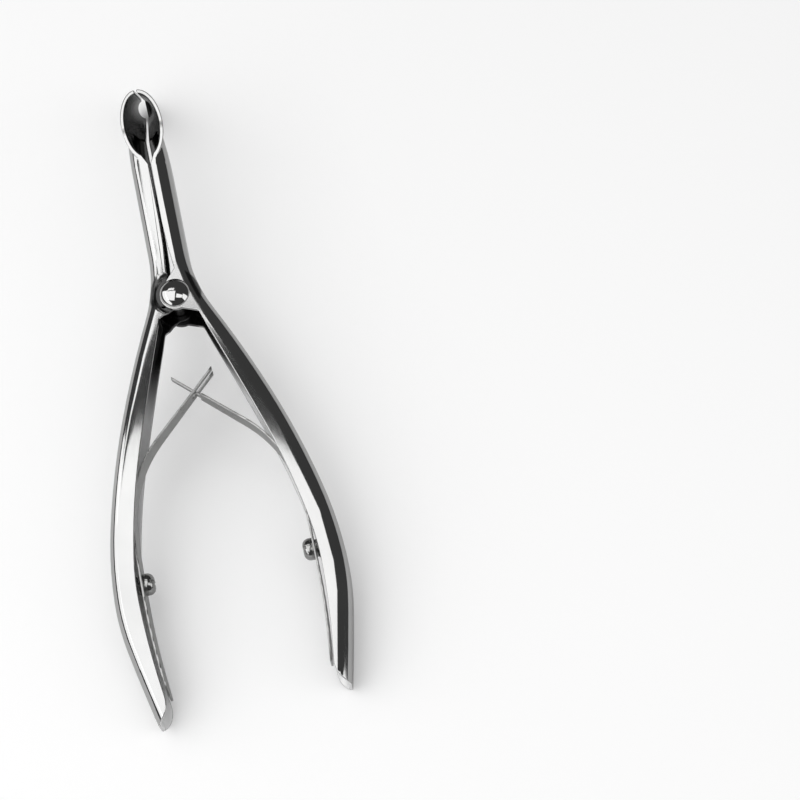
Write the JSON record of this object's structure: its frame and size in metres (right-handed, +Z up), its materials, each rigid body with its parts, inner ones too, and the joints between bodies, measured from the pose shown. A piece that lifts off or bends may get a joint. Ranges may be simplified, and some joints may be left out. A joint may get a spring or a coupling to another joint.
{
  "type": "nasal speculum",
  "caption": "Hand-held nasal speculum: polished pressed-steel branches on a domed rivet, crossed leaf springs between the bowed handles, slit funnel of half-cone blades at the tip.",
  "frame": {"origin": "on the table, under the middle of the object's box as it lies at rest", "axes": "+Y along the instrument from the handle ends to the funnel, +Z up from the table, +X to the right branch"},
  "size_m": [0.0524, 0.1656, 0.0278],
  "materials": {
    "polished_steel": "mirror polished stainless steel",
    "spring_steel": "ground spring steel strip with bright sheared edges",
    "screw_steel": "polished turned steel"
  },
  "bodies": {
    "left_half": {"left_branch": "polished_steel", "left_spring": "spring_steel", "left_spring_screw": "screw_steel", "pivot_rivet": "polished_steel"},
    "right_half": {"right_branch": "polished_steel", "right_spring": "spring_steel", "right_spring_screw": "screw_steel"}
  },
  "joints": [
    {"name": "branch_hinge", "type": "hinge", "parent": "left_half", "child": "right_half", "pos_m": [0, 0.0152, 0.01617], "axis": [0, 0.1094, -0.994], "range_deg": [0, 20], "stiffness_Nm_per_rad": 1.2, "springref_deg": -5.73, "deforming": ["left_spring", "right_spring"]}
  ]
}
